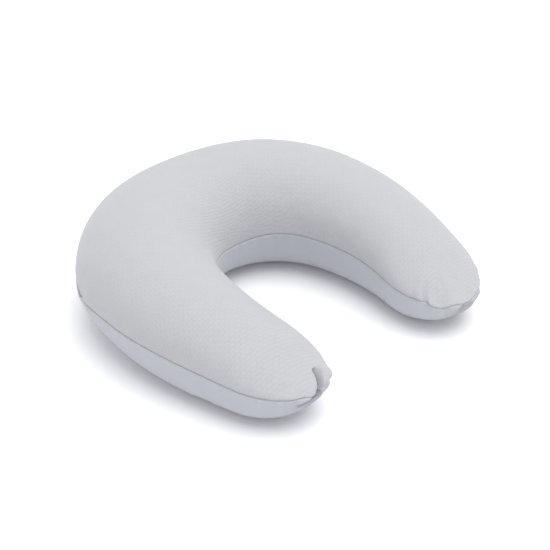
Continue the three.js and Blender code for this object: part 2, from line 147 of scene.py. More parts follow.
def outer_half_width(share):
    """The outer half width, eased onto the zip's arc where the zip is."""
    x, y, heading = middle_line(share * HALF_LENGTH)
    y = y - ZIP_CENTRE_Y
    along = x * np.sin(heading) + y * np.cos(heading)
    to_arc = np.sqrt(ZIP_RADIUS**2 - x * x - y * y + along * along) - along
    natural = smooth_through(OUTER_HALF_WIDTH, share)
    return natural + (to_arc - natural) * beside_zip(share, ZIP_FADE)


def tip_rounding(place, depth):
    distance = np.abs(place) * (HALF_LENGTH - depth)
    into_tip = np.clip((distance - HALF_LENGTH + TIP_LENGTH) / (TIP_LENGTH - depth), 0, 1)
    return np.sqrt(1 - into_tip**2)


def roll_points(place, angle, depth, side, opening=0.0):
    """Points of a layer. place runs from -1 at the -X tip to 1 at the +X tip, and angle over
    the section from 0 at the outer seam to pi at the inner one, over the top or under it.
    opening is the width of the zip's opening."""
    place, angle = np.broadcast_arrays(place, angle)
    distance = np.abs(place) * (HALF_LENGTH - depth)
    share = distance / HALF_LENGTH
    x, y, heading = middle_line(distance)
    rounding = tip_rounding(place, depth)
    is_outer = np.cos(angle) > 0

    arm = np.clip((share - ARM_START) / ARM_EASING, 0, 1)
    outer_fullness = BACK_UNDERSIDE_FULLNESS + arm * (
        ARM_UNDERSIDE_FULLNESS - BACK_UNDERSIDE_FULLNESS
    )
    under_fullness = np.where(is_outer, outer_fullness, INNER_UNDERSIDE_FULLNESS)
    power = 2 / (TOP_FULLNESS if side == TOP else under_fullness)
    rise = np.abs(np.sin(angle)) ** power * rounding
    across = np.sign(np.cos(angle)) * np.abs(np.cos(angle)) ** power * rounding

    outer_width = outer_half_width(share)
    half_width = np.where(is_outer, outer_width, smooth_through(INNER_HALF_WIDTH, share))
    if depth >= CASE_DEPTH:
        low = 1 - smoothstep(rise, *ZIP_RECESS_RISES)
        half_width = half_width - ZIP_RECESS * beside_zip(share, ZIP_FADE) * low * is_outer
    reach = (half_width - depth) * across

    outer_share = (1 + np.cos(angle) * rounding) / 2
    inner_seam = smooth_through(INNER_SEAM_HEIGHT, share)
    natural_seam = smooth_through(OUTER_SEAM_HEIGHT, share)
    outer_seam = natural_seam + (ZIP_HEIGHT - natural_seam) * beside_zip(share, ZIP_FADE)
    seam = inner_seam + (outer_seam - inner_seam) * outer_share
    nearness = np.maximum(0, 2 * outer_share - 1) ** LIP_SHARPNESS
    edge = seam + side * opening / 2 * beside_zip(share, ZIP_OPENING_FADE) * nearness
    if side == TOP:
        z = edge + (smooth_through(CREST_HEIGHT, share) - depth - edge) * rise
    else:
        lift = np.maximum(0, (share - LIFT_FROM) / (1 - LIFT_FROM)) ** 2
        floor = depth + TIP_LIFT * lift
        z = np.maximum(edge - (edge - floor) * rise * FLATTENING, floor)
    x = np.where(place < 0, -1, 1) * (x + reach * np.sin(heading))
    return np.stack([x, y + reach * np.cos(heading), z], -1)


# Distances from a seam at which a cover has its rows or columns, before the even ones.
NEAR_SEAM = np.array([0, 0.25, 0.5, 0.9, 1.4, 2, 3, 4.2, 6, 8.5, 12]) * MM
TIP_TURN_RADIUS = 80 * MM


def row_places(arm_spacing, tip_spacing, near=NEAR_SEAM):
    """Places for a grid's rows from one tip to the other, with some close to the tips."""
    tip_start = 1 - TIP_LENGTH / HALF_LENGTH
    arm_rows = round(HALF_LENGTH * tip_start / arm_spacing)
    arm = np.linspace(0, tip_start, arm_rows, endpoint=False)
    close = math.pi / 2 - near[::-1] / TIP_TURN_RADIUS
    tip_rows = round(TIP_TURN_RADIUS * close[0] / tip_spacing)
    turn = np.concatenate([np.linspace(0, close[0], tip_rows, endpoint=False), close])
    half = np.concatenate([arm, tip_start + (1 - tip_start) * np.sin(turn)])
    half[-1] = 1
    return np.concatenate([-half[:0:-1], half])


def column_shares(length, spacing, near=NEAR_SEAM):
    """Shares of the way across a panel about that long, for the columns of its grid."""
    close = near / length
    between = round((length - 2 * near[-1]) / spacing)
    even = np.linspace(close[-1], 1 - close[-1], between, endpoint=False)[1:]
    return np.concatenate([close, even, 1 - close[::-1]])


SECTION_SAMPLES = 260


def panel(places, shares, depth, side, opening=0.0):
    """A grid of points over one panel, one row for each place. Its columns are at these
    shares of the way from the outer seam to the inner one, along the cloth. Also returns
    how far along the cloth each point is from the outer seam and from the inner one."""
    even = np.linspace(0, 1, SECTION_SAMPLES)
    angles = math.pi * even * even * (3 - 2 * even)
    points = np.empty((len(places), len(shares), 3))
    from_outer = np.empty((len(places), len(shares)))
    total = np.empty(len(places))
    sections = roll_points(places[:, None], angles[None], depth, side, opening)
    for row, section in enumerate(sections):
        steps = np.linalg.norm(np.diff(section, axis=0), axis=1)
        lengths = np.concatenate([[0], np.cumsum(steps)])
        wanted = shares * lengths[-1]
        for axis in range(3):
            points[row, :, axis] = np.interp(wanted, lengths, section[:, axis])
        from_outer[row] = wanted
        total[row] = lengths[-1]
    return points, from_outer, total[:, None] - from_outer


# ---------------------------------------------------------------- grids and seams
def unit(vectors):
    return vectors / np.maximum(np.linalg.norm(vectors, axis=-1, keepdims=True), 1e-9)


def grid_faces(rows, columns, side):
    index = np.arange(rows * columns).reshape(rows, columns)
    corners = [index[:-1, :-1], index[1:, :-1], index[1:, 1:], index[:-1, 1:]]
    return np.stack(corners[::-1] if side == TOP else corners, -1).reshape(-1, 4)


def grid_normals(points, side):
    across = np.gradient(points, axis=1)
    along = np.gradient(points, axis=0)
    return unit(np.cross(across, along)) * side


def resample(values, at, wanted, axis):
    """Values on a grid's rows (axis 0) or columns (axis 1), smoothly read at other places."""
    values = np.moveaxis(values, axis, 0)
    index = np.clip(np.searchsorted(at, wanted) - 1, 0, len(at) - 2)
    part = (wanted - at[index]) / (at[index + 1] - at[index])
    part = part.reshape((-1,) + (1,) * (values.ndim - 1))
    before, after = np.maximum(index - 1, 0), np.minimum(index + 2, len(at) - 1)
    read = cubic(values[before], values[index], values[index + 1], values[after], part)
    return np.moveaxis(read, 0, axis)


def blur(values, times):
    """Values on a grid, smoothed over their neighbours many times."""
    for _ in range(times):
        for axis in (0, 1):
            padded = np.concatenate(
                [values.take([0], axis), values, values.take([-1], axis)], axis
            )
            size = values.shape[axis]
            before = padded.take(range(size), axis)
            after = padded.take(range(2, size + 2), axis)
            values = (before + 2 * values + after) / 4
    return values


def tree_of(points):
    tree = KDTree(len(points))
    for index, point in enumerate(points):
        tree.insert(point, index)
    tree.balance()
    return tree


class Seam:
    """The cover's seam as a closed line: along the outside of the C, then back inside it."""

    def __init__(self):
        places = row_places(2 * MM, 1 * MM)
        outer = roll_points(places, 0.0, 0, TOP)
        inner = roll_points(places, math.pi, 0, TOP)
        self.points = np.concatenate([outer, inner[-2:0:-1]])
        there = np.roll(self.points, -1, 0)
        self.lengths = np.linalg.norm(there - self.points, axis=1)
        self.along = np.concatenate([[0], np.cumsum(self.lengths)])[:-1]
        tangent = unit(there - np.roll(self.points, 1, 0))
        self.outward = unit(np.stack([-tangent[:, 1], tangent[:, 0], 0 * tangent[:, 0]], 1))
        back = np.zeros(len(self.points) - len(outer))
        zip_share = beside_zip(np.abs(places), ZIP_OPENING_FADE)
        self.zip_share = np.concatenate([zip_share, back])
        self.zip_start = self.along[np.flatnonzero(self.zip_share > 0.5)[0]]
        tip_share = smoothstep(np.abs(places), 1 - 1.3 * TIP_LENGTH / HALF_LENGTH, 1)
        self.tip_share = np.concatenate([tip_share, tip_share[-2:0:-1]])
        self.tree = tree_of(self.points)

    def nearest(self, points):
        """For each point: the nearest place on the seam, and how far away it is."""
        flat = points.reshape(-1, 3)
        index = np.array([self.tree.find(point)[1] for point in flat])
        distance = np.full(len(flat), np.inf)
        for first in (index - 1, index):
            here = self.points[first]
            step = np.roll(self.points, -1, 0)[first] - here
            share = np.sum((flat - here) * step, 1) / np.sum(step * step, 1)
            reached = here + np.clip(share, 0, 1)[:, None] * step
            distance = np.minimum(distance, np.linalg.norm(flat - reached, axis=1))
        return index.reshape(points.shape[:-1]), distance.reshape(points.shape[:-1])


SEAM = Seam()


# ---------------------------------------------------------------- pleats at the tips
def tip_axis(side):
    """(centre, direction) of the rounded end of the arm on that side, seen from above."""
    x, y, _ = middle_line(np.array([HALF_LENGTH - TIP_CENTRE * TIP_LENGTH, HALF_LENGTH]))
    centre = np.array([side * x[0], y[0]])
    ahead = np.array([side * x[1], y[1]]) - centre
    return centre, ahead / np.linalg.norm(ahead)


def round_tip(points, side):
    """The bearing of points round an arm's rounded end, in degrees from the arm's own
    direction and positive towards the outside of the C, then how far out they are from its
    centre, and the way out to them."""
    centre, ahead = tip_axis(side)
    outward = np.array([side * abs(ahead[1]), -side * ahead[0] * np.sign(ahead[1])])
    offset = points[..., :2] - centre
    bearing = np.degrees(np.arctan2(offset @ outward, offset @ ahead))
    away = np.linalg.norm(offset, axis=-1)
    way = np.concatenate([unit(offset), np.zeros(offset.shape[:-1] + (1,))], -1)
    return bearing, away, way


def bump(value, middle, width):
    return np.exp(-(((value - middle) / width) ** 2))


# The -X tip's pleat, in degrees round the tip and millimetres of height.
FOLD_TOP = 72
FOLD_BEARING = -18  # of the fold at that height
FOLD_SLANT = 1.9  # degrees for each millimetre
HOLLOW_EDGES = (-1, 1.8, 4, 15)  # where it starts and is deep, then where it rises again
HOLLOW_HEIGHTS = (44, 58, 66, 73)
HOLLOW_DEPTH = 27
FOLD_SWELL = (5, 6, 4)  # the roll of cloth beside the fold: place, width and height
LAYER_BLUNTNESS = 5  # how much wider the hollow is in the layers below the cover
PLEAT_BEARING = -8  # the middle of all of it, and where it starts and has faded out
PLEAT_REACH = (55, 85)

# Bearing and height, the reach each way, and the depth in millimetres.
TIP_CREASES = (((37, 70), (5, 16), 1.3), ((53, 70), (5, 16), 1.04))
TIP_CORNER = ((-31, 62), (7, 13), 5.5)
TIP_WAIST = ((-44, 80), (9, 9), 3)

# The +X tip's seam: the bearing, width and height of each rise or dip, the last in mm.
SEAM_WAVES = ((-60, 8, 1.8), (-47, 4.5, 2.4), (-32, 10, -4.4), (-12, 8, 1.6), (8, 9, -1))
SEAM_SAG_HEIGHT = 60
SEAM_SAG_REACH = 26
FAN_DEPTH = 1.8 * MM
FAN_BEARING, FAN_SPREAD = -46, 20
FAN_FOLDS = 24  # in a full turn
FAN_TWIST = 0.25  # degrees for each millimetre of height
FAN_HEIGHT, FAN_REACH = 16, 15  # above the seam
FAN_CREASE = 1.4  # the deep one that crosses the seam, as a share of FAN_DEPTH
FAN_CREASE_SLANT, FAN_CREASE_WIDTH, FAN_CREASE_REACH = 0.5, 3, 12
AXIS_CLEAR = (20 * MM, 40 * MM)


def rise_and_fall(value, edges):
    """1 between the second and third of four edges, fading to 0 at the outer ones."""
    return smoothstep(value, *edges[:2]) * (1 - smoothstep(value, *edges[2:]))


def from_axis(away):
    """0 near the axis of a rounded tip, where bearings mean little, and 1 away from it."""
    return smoothstep(away, *AXIS_CLEAR)


def pleat_fold(points, depth):
    """For points of the -X tip: the degrees left to the pleat's fold, how far the cloth has
    dropped into the hollow beyond it, and how much of the pleat there is at their height.
    The hollow is wider in the layers below, so they stay inside the cover."""
    bearing = round_tip(points, -1)[0]
    height = points[..., 2] / MM
    fold = bearing - FOLD_BEARING - FOLD_SLANT * (FOLD_TOP - height)
    blunt = 0 if depth == 0 else LAYER_BLUNTNESS
    start, deep, rising, end = HOLLOW_EDGES
    drop = rise_and_fall(-fold, (start - blunt, deep - blunt, rising + blunt, end + blunt))
    low, full, high, top = HOLLOW_HEIGHTS
    return fold, drop, rise_and_fall(height, (low, full, high + blunt, top + blunt))


def tip_dent(bearing, height, place, reach, depth):
    return depth * bump(bearing, place[0], reach[0]) * bump(height, place[1], reach[1])


def pleat(points, depth):
    """The slanting pleat across the seam of the -X tip: a sharp fold, the hollow it drops
    into, and the plump corner beyond it."""
    bearing, away, way = round_tip(points, -1)
    height = points[..., 2] / MM
    fold, drop, upright = pleat_fold(points, depth)
    swell_place, swell_width, swell_height = FOLD_SWELL
    inward = HOLLOW_DEPTH * drop - swell_height * bump(fold, swell_place, swell_width)
    inward = inward * upright
    for crease in TIP_CREASES:
        inward = inward - tip_dent(bearing, height, *crease)
    inward = inward - tip_dent(bearing, height, *TIP_CORNER)
    inward = inward + tip_dent(bearing, height, *TIP_WAIST)
    faded = smoothstep(np.abs(bearing - PLEAT_BEARING), *PLEAT_REACH)
    return -way * (inward * from_axis(away) * (1 - faded) * MM)[..., None]


def sag(points):
    """The waver of the seam round the +X tip, and the soft folds that fan out above it."""
    bearing, away, way = round_tip(points, 1)
    reach = from_axis(away)
    above = points[..., 2] / MM - SEAM_SAG_HEIGHT
    rise = sum(height * bump(bearing, middle, width) for middle, width, height in SEAM_WAVES)
    fan = np.sin(np.radians(bearing + above * FAN_TWIST) * FAN_FOLDS)
    fan = fan * bump(bearing, FAN_BEARING, FAN_SPREAD) * bump(above, FAN_HEIGHT, FAN_REACH)
    crease = bump(bearing + FAN_CREASE_SLANT * above, FAN_BEARING, FAN_CREASE_WIDTH)
    crease = FAN_CREASE * crease * bump(above, 0, FAN_CREASE_REACH)
    moved = way * (FAN_DEPTH * (fan - crease) * reach)[..., None]
    moved[..., 2] += rise * reach * bump(above, 0, SEAM_SAG_REACH) * MM
    return moved


# ---------------------------------------------------------------- the cloth simulation
SETTLE_ROWS = row_places(8.5 * MM, 7.5 * MM, near=np.array([0.0]))
SETTLE_COLUMNS = {TOP: np.linspace(0, 1, 31), UNDER: np.linspace(0, 1, 27)}
SETTLE_INSET = 5 * MM  # how far inside its final shape the cloth starts
SETTLE_INSET_REACH = 45 * MM
SETTLE_CAP = 3.2 * MM
SETTLE_FADE = 14 * MM  # from the seam
SETTLE_LOOSENESS = 0.35  # of the cloth away from the tips, where it is 1
SETTLE_BLUR = 30  # how many times the offsets are smoothed to find what is even in them
SETTLE_EVENED = 0.9  # how much of that is taken away
SEAM_HOLD = 0.5 * MM
FRAMES = 20


def merged_mesh(name, points, faces, pattern=None):
    """A mesh of those faces, with corners that lie at one place made one. The pattern, where
    there is one, is kept as each corner's place on the flat cloth."""
    mesh = bpy.data.meshes.new(name)
    mesh.from_pydata(points.reshape(-1, 3), [], faces.tolist())
    if pattern is not None:
        kept = mesh.attributes.new("cloth", "FLOAT_VECTOR", "POINT")
        kept.data.foreach_set("vector", pattern.astype(np.float32).ravel())
    work = bmesh.new()
    work.from_mesh(mesh)
    bmesh.ops.remove_doubles(work, verts=work.verts, dist=0.01 * MM)
    work.to_mesh(mesh)
    work.free()
    return mesh


def body_faces(skins):
    """The faces of a whole body, from the grids of its top and its underside in that order."""
    top, under = (grid_faces(*points.shape[:2], side) for points, side in zip(skins, (TOP, UNDER)))
    return np.concatenate([top, under + skins[0][..., 0].size])


def body_points(skins):
    return np.concatenate([points.reshape(-1, 3) for points in skins])


def vertices_of(mesh):
    points = np.empty(len(mesh.vertices) * 3)
    mesh.vertices.foreach_get("co", points)
    return points.reshape(-1, 3)


CLOTH_SETTINGS = {
    "quality": 6,
    "mass": 0.25,
    "tension_stiffness": 14,
    "compression_stiffness": 14,
    "shear_stiffness": 6,
    "bending_stiffness": 0.4,
    "use_pressure": True,
    "uniform_pressure_force": 4,
    "vertex_group_mass": "held",
    "vertex_group_shrink": "loose",
    "shrink_min": 0,
    "shrink_max": -0.07,
}


def blown_up(skin, pinned, loose):
    """The skin's vertices after it is blown up from inside, held at its seam."""
    body = bpy.data.objects.new("settling", skin)
    bpy.context.scene.collection.objects.link(body)
    for name, weights in (("held", pinned), ("loose", loose)):
        group = body.vertex_groups.new(name=name)
        for index, weight in enumerate(weights):
            group.add([index], float(weight), "REPLACE")
    cloth = body.modifiers.new("cloth", "CLOTH")
    for name, value in CLOTH_SETTINGS.items():
        setattr(cloth.settings, name, value)
    cloth.settings.effector_weights.gravity = 0
    cloth.collision_settings.use_collision = False
    cloth.point_cache.frame_start = 1
    cloth.point_cache.frame_end = FRAMES
    for frame_number in range(1, FRAMES + 1):
        bpy.context.scene.frame_set(frame_number)
    evaluated = body.evaluated_get(bpy.context.evaluated_depsgraph_get())
    settled = vertices_of(evaluated.data)
    bpy.data.objects.remove(body)
    bpy.context.scene.frame_set(1)
    return settled


def settle():
    """How far each panel's cloth moves off the plain roll when it is blown up: one grid of
    offsets for each side. The roll's own size is kept, so only the unevenness is left."""
    smooth = {
        side: panel(SETTLE_ROWS, SETTLE_COLUMNS[side], 0, side)[0] for side in (TOP, UNDER)
    }
    start, distances = {}, {}
    for side, points in smooth.items():
        moved = points + pleat(points, 0) + sag(points)
        distances[side] = SEAM.nearest(points)[1]
        inset = SETTLE_INSET * smoothstep(distances[side], 0, SETTLE_INSET_REACH)
        start[side] = moved - grid_normals(points, side) * inset[..., None]
    skins = (start[TOP], start[UNDER])
    skin = merged_mesh("settling", body_points(skins), body_faces(skins))
    first = vertices_of(skin)
    tree = tree_of(first)
    index, distance = SEAM.nearest(first)
    loose = SETTLE_LOOSENESS + (1 - SETTLE_LOOSENESS) * SEAM.tip_share[index]
    settled = blown_up(skin, distance < SEAM_HOLD, loose)
    offsets = {}
    for side in (TOP, UNDER):
        flat = start[side].reshape(-1, 3)
        where = [tree.find(point)[1] for point in flat]
        offset = (settled[where] - flat).reshape(start[side].shape)
        uneven = offset - SETTLE_EVENED * blur(offset, SETTLE_BLUR)
        length = np.linalg.norm(uneven, axis=-1, keepdims=True)
        capped = uneven / (1 + length / SETTLE_CAP)
        offsets[side] = capped * smoothstep(distances[side], 0, SETTLE_FADE)[..., None]
    return offsets


OFFSETS = settle()


def layer(places, shares, depth, side, opening=0.0):
    """A panel's grid with the unevenness of the cloth and the pleats of the tips."""
    points, from_outer, from_inner = panel(places, shares, depth, side, opening)
    offset = resample(OFFSETS[side], SETTLE_ROWS, places, 0)
    offset = resample(offset, SETTLE_COLUMNS[side], shares, 1)
    moved = points + offset + pleat(points, depth) + sag(points)
    moved[..., 2] = np.maximum(moved[..., 2], depth)
    return moved, points, from_outer, from_inner


SEAM_DEPTH = 2.1 * MM
SEAM_WIDTH = 0.9 * MM
LIP_DEPTH = 3.4 * MM
LIP_WIDTH = 0.7 * MM
PUCKER_LENGTHS = (0.0145, 0.0205, 0.031)  # along the seam, in metres
PUCKER_HEIGHT = {TOP: 0.2 * MM, UNDER: 0.5 * MM}
PUCKER_REACH = 5 * MM
ROLL_HEIGHT = {TOP: 0.3 * MM, UNDER: 0.9 * MM}  # how far each panel's edge stands out
ROLL_REACH = 2.4 * MM
GAPE = 4.5 * MM  # how far each lip stands back where the zip's -X end gapes
GAPE_PLACE, GAPE_LENGTH = 9, 6  # mm inside the zip's -X end
GAPE_REACH = 5 * MM
END_PLEATS = ((-7, 1.5, 0.3), (-13, 1.6, 0.0))  # mm past it, width, and slant of each
END_PLEAT_DEPTH, END_PLEAT_REACH = 2.6 * MM, 7 * MM


def puckers(along, side):
    """The height of the small ripples beside the seam, from about -3 to 3."""
    wave = 0
    for number, length in enumerate(PUCKER_LENGTHS):
        drift = 1.7 * np.sin(along * 9 + number * 2 + side)
        wave = wave + np.sin(2 * math.pi * along / length + drift + 2.1 * number * side)
    return wave


def swell(distance, reach):
    """0 at the seam, 1 at the reach, and fading beyond it."""
    return distance / reach * np.exp(1 - distance / reach)


def sewn(moved, plain, from_outer, side):
    """The cover's panel drawn in along its seam, with small puckers beside it."""
    index, distance = SEAM.nearest(plain)
    in_zip = SEAM.zip_share[index]
    distance = distance + (from_outer - distance) * in_zip
    depth = SEAM_DEPTH + (LIP_DEPTH - SEAM_DEPTH) * in_zip
    width = SEAM_WIDTH + (LIP_WIDTH - SEAM_WIDTH) * in_zip
    inward = -SEAM.outward[index] * (depth * np.exp(-distance / width))[..., None]
    along = SEAM.along[index]
    patchy = 0.55 + 0.45 * np.sin(along * 23 + 1.3 * side + 2 * np.sin(along * 7))
    size = PUCKER_HEIGHT[side] * patchy * (1 - 0.7 * in_zip) * (1 + SEAM.tip_share[index])
    ripple = puckers(along, side) * size * swell(distance, PUCKER_REACH)
    roll = ROLL_HEIGHT[side] * swell(distance, ROLL_REACH)
    past_end = (along - SEAM.zip_start) / MM
    fold = sum(
        bump(past_end + slant * distance / MM, middle, width)
        for middle, width, slant in END_PLEATS
    )
    gather = -END_PLEAT_DEPTH * fold * np.exp(-distance / END_PLEAT_REACH)
    out = grid_normals(moved, side) * (ripple + roll + gather)[..., None]
    result = moved + inward + out
    gape = GAPE * bump(past_end, GAPE_PLACE, GAPE_LENGTH) * np.exp(-distance / GAPE_REACH)
    result[..., 2] = np.maximum(result[..., 2] + side * gape, 0)
    return result


# ---------------------------------------------------------------- making objects
def add_object(name, mesh, body, material, stands_for=()):
    mesh.name = name
    for polygon in mesh.polygons:
        polygon.use_smooth = True
    mesh.materials.append(material)
    made = bpy.data.objects.new(name, mesh)
    bpy.context.scene.collection.objects.link(made)
    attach(made, body)
    if stands_for:
        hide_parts(*stands_for)
    return made


def thicken(made, thickness):
    thick = made.modifiers.new("cloth thickness", "SOLIDIFY")
    thick.thickness = thickness
    thick.offset = -1


def along_line(line, distances):
    """Points at those distances along a line of points, and the way it runs there."""
    steps = np.linalg.norm(np.diff(line, axis=0), axis=1)
    lengths = np.concatenate([[0], np.cumsum(steps)])
    points = [np.interp(distances, lengths, line[:, axis]) for axis in range(3)]
    ahead = [np.interp(distances + 0.5 * MM, lengths, line[:, axis]) for axis in range(3)]
    points, ahead = np.stack(points, 1), np.stack(ahead, 1)
    return points, unit(ahead - points), lengths[-1]


STITCH_PITCH = 3 * MM
STITCH_LENGTH = 2.2 * MM
STITCH_RADIUS = 0.36 * MM
STITCH_PROFILE = ((-0.5, 0.3), (-0.36, 0.95), (0.36, 0.95), (0.5, 0.3))
STITCH_SIDES = 6


def stitches(line):
    """(vertices, faces) of a row of short stitches along a line of points."""
    length = along_line(line, np.zeros(1))[2]
    middles = np.arange(STITCH_PITCH, length - STITCH_PITCH, STITCH_PITCH)
    points, way, _ = along_line(line, middles)
    up = np.array([0, 0, 1.0])
    beside = unit(np.cross(way, up))
    above = np.cross(beside, way)
    turns = np.arange(STITCH_SIDES) * 2 * math.pi / STITCH_SIDES
    rings = []
    for share, size in STITCH_PROFILE:
        middle = points + way * (share * STITCH_LENGTH)
        for turn in turns:
            around = beside * math.cos(turn) + above * math.sin(turn)
            rings.append(middle + around * (size * STITCH_RADIUS))
    vertices = np.stack(rings, 1).reshape(-1, 3)
    per_stitch = len(STITCH_PROFILE) * STITCH_SIDES
    one = []
    for ring in range(len(STITCH_PROFILE) - 1):
        for turn in range(STITCH_SIDES):
            here = ring * STITCH_SIDES + turn
            there = ring * STITCH_SIDES + (turn + 1) % STITCH_SIDES
            one.append((here, there, there + STITCH_SIDES, here + STITCH_SIDES))
    last = per_stitch - STITCH_SIDES
    one.append(tuple(range(STITCH_SIDES))[::-1])
    one.append(tuple(range(last, per_stitch)))
    faces = [
        tuple(corner + stitch * per_stitch for corner in face)
        for stitch in range(len(points))
        for face in one
    ]
    return vertices, faces


def stitch_object(name, lines, material, stands_for=()):
    vertices, faces = [], []
    for line in lines:
        more, more_faces = stitches(line)
        start = sum(len(part) for part in vertices)
        vertices.append(more)
        faces += [tuple(corner + start for corner in face) for face in more_faces]
    mesh = bpy.data.meshes.new(name)
    mesh.from_pydata(np.concatenate(vertices), [], faces)
    return add_object(name, mesh, "pillow", material, stands_for)


COIL_PITCH = 1.6 * MM
COIL_POINTS = 8
COIL_SIDES = 5
COIL_DEPTH = 3.2 * MM
COIL_HEIGHT = 1.45 * MM
COIL_HALF_DEPTH = 0.5 * MM
COIL_HALF_HEIGHT = 0.75 * MM
COIL_WIRE = 0.26 * MM
COIL_END_GAP = 6 * MM


def coil_mesh(name, side):
    """The wound teeth of one side of the zip, half a turn out of step with the other's."""
    end = ZIP_END - COIL_END_GAP / ZIP_RADIUS
    turns = 2 * end * ZIP_RADIUS / COIL_PITCH
    steps = np.arange(int(turns * COIL_POINTS) + 1)
    winding = 2 * math.pi * steps / COIL_POINTS + (0 if side == TOP else math.pi)
    angle = -end + steps / COIL_POINTS * COIL_PITCH / ZIP_RADIUS
    radius = ZIP_RADIUS - COIL_DEPTH + COIL_HALF_DEPTH * np.cos(winding)
    z = ZIP_HEIGHT + side * (COIL_HEIGHT - COIL_HALF_HEIGHT * np.sin(winding))
    line = np.stack([radius * np.sin(angle), ZIP_CENTRE_Y + radius * np.cos(angle), z], 1)
    way = unit(np.gradient(line, axis=0))
    out = np.stack([np.sin(angle), np.cos(angle), 0 * angle], 1)
    beside = unit(np.cross(way, out))
    above = np.cross(beside, way)
    around = np.arange(COIL_SIDES) * 2 * math.pi / COIL_SIDES
    ring = [
        line + (beside * math.cos(turn) + above * math.sin(turn)) * COIL_WIRE for turn in around
    ]
    vertices = np.stack(ring, 1).reshape(-1, 3)
    here = np.arange(len(line) - 1)[:, None] * COIL_SIDES
    first = here + np.arange(COIL_SIDES)
    second = here + (np.arange(COIL_SIDES) + 1) % COIL_SIDES
    faces = np.stack([first, second, second + COIL_SIDES, first + COIL_SIDES], -1)
    last = len(vertices) - COIL_SIDES
    ends = [tuple(range(COIL_SIDES))[::-1], tuple(range(last, len(vertices)))]
    mesh = bpy.data.meshes.new(name)
    mesh.from_pydata(vertices, [], faces.reshape(-1, 4).tolist() + ends)
    return mesh


# ---------------------------------------------------------------- materials
def linear(red, green, blue):
    """A colour given in the 0 to 255 of a screen, as Blender's linear values."""
    parts = [value / 255 for value in (red, green, blue)]
    return tuple(
        part / 12.92 if part <= 0.04045 else ((part + 0.055) / 1.055) ** 2.4 for part in parts
    )


TOP_SHADE, TOP_LIGHT = linear(175, 176, 179), linear(186, 187, 190)
UNDER_SHADE, UNDER_LIGHT = linear(179, 180, 186), linear(190, 191, 197)
# Shade painted into the cover's colour deep in the -X tip's pleat: its darkest colour, and the mark
# at which it is full.
PAINTED_PLEAT_SHADE = linear(124, 126, 134)
PAINTED_SHADE_FULL = 1 * MM  # the third value of the cloth's place, where it is deep in the pleat


class Finish:
    """A material's nodes, added one at a time."""

    def __init__(self, name, roughness, sheen=0.0, metallic=0.0):
        self.material = bpy.data.materials.new(name)
        self.material.use_nodes = True
        self.nodes = self.material.node_tree.nodes
        self.links = self.material.node_tree.links
        self.shader = self.nodes["Principled BSDF"]
        self.shader.inputs["Roughness"].default_value = roughness
        self.shader.inputs["Metallic"].default_value = metallic
        self.shader.inputs["Sheen Weight"].default_value = sheen
        self.shader.inputs["Sheen Roughness"].default_value = 0.5

    def node(self, kind, inputs=(), **settings):
        made = self.nodes.new("ShaderNode" + kind)
        for name, value in settings.items():
            setattr(made, name, value)
        for name, value in dict(inputs).items():
            self.plug(value, made.inputs[name])
        return made

    def plug(self, value, socket):
        if isinstance(value, bpy.types.NodeSocket):
            self.links.new(value, socket)
        else:
            socket.default_value = value

    def sum(self, operation, first, second=0.0, third=0.0):
        inputs = {0: first, 1: second, 2: third}
        return self.node("Math", inputs, operation=operation).outputs[0]

    def cloth_place(self):
        return self.node("Attribute", attribute_name="cloth").outputs["Vector"]

    def object_place(self):
        return self.node("TexCoord").outputs["Object"]

    def noise(self, place, scale, detail=3.0, colour=False):
        inputs = {"Vector": place, "Scale": scale, "Detail": detail}
        made = self.node("TexNoise", inputs)
        return made.outputs["Color" if colour else "Fac"]

    def blend(self, share, first, second):
        """A colour between two. The first may be another node's."""
        if not isinstance(first, bpy.types.NodeSocket):
            first = (*first, 1)
        inputs = {0: share, 6: first, 7: (*second, 1)}
        return self.node("Mix", inputs, data_type="RGBA").outputs[2]

    def with_painted_shade(self, colour):
        """The colour of the cover's cloth, with shade painted darker where it lies deep in the
        pleat.
        """
        depth = self.part(self.cloth_place(), 2)
        share = self.sum("MULTIPLY", depth, 1 / PAINTED_SHADE_FULL)
        return self.blend(share, colour, PAINTED_PLEAT_SHADE)

    def wavy(self, place, amount, scale):
        """The place, pushed about a little by noise."""
        noise = self.noise(place, scale, 2.0, colour=True)
        centred = self.node("VectorMath", {0: noise, 1: (0.5,) * 3}, operation="SUBTRACT")
        inputs = {0: centred.outputs[0], 1: (amount,) * 3, 2: place}
        return self.node("VectorMath", inputs, operation="MULTIPLY_ADD").outputs[0]

    def part(self, place, axis):
        return self.node("SeparateXYZ", {0: place}).outputs[axis]

    def ribs(self, value, period):
        """A wave from 0 to 1 with that period."""
        turned = self.sum("MULTIPLY", value, 2 * math.pi / period)
        return self.sum("MULTIPLY_ADD", self.sum("SINE", turned), 0.5, 0.5)

    def finish(self, colour, height, distance, roughness=None):
        self.plug(colour, self.shader.inputs["Base Color"])
        inputs = {"Height": height, "Strength": 1.0, "Distance": distance}
        made = self.node("Bump", inputs)
        self.plug(made.outputs["Normal"], self.shader.inputs["Normal"])
        if roughness is not None:
            self.plug(roughness, self.shader.inputs["Roughness"])
        return self.material


